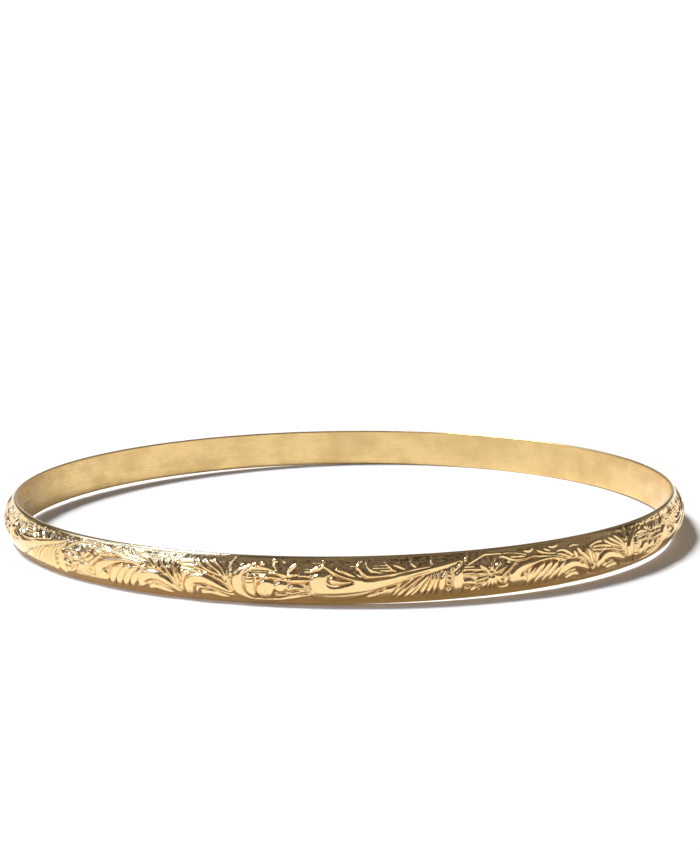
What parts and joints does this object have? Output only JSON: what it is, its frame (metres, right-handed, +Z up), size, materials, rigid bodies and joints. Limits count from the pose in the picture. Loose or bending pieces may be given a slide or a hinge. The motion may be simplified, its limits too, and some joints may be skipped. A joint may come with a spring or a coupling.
{
  "type": "bangle bracelet",
  "caption": "Closed rigid slip-on bangle bracelet of half-round gold-filled strip, smooth inside, with a raised scroll and leaf pattern rolled into its domed outside.",
  "frame": {"origin": "centre of the wrist opening at the level of the bottom rim, where the bangle rests on a surface", "axes": "+Z up along the bangle's axis; -X through the soldered joint; -Y towards the side usually seen"},
  "size_m": [0.0676, 0.0676, 0.004],
  "materials": {
    "brass_core": "drawn, unpolished, hidden inside the gold",
    "gold_skin": "bright polished yellow gold outside, softer brushed polish inside",
    "gold_solder": "filed flush and polished"
  },
  "bodies": {
    "root": {"core_wire": "brass_core", "gold_sleeve": "gold_skin", "solder_joint": "gold_solder"}
  },
  "joints": []
}
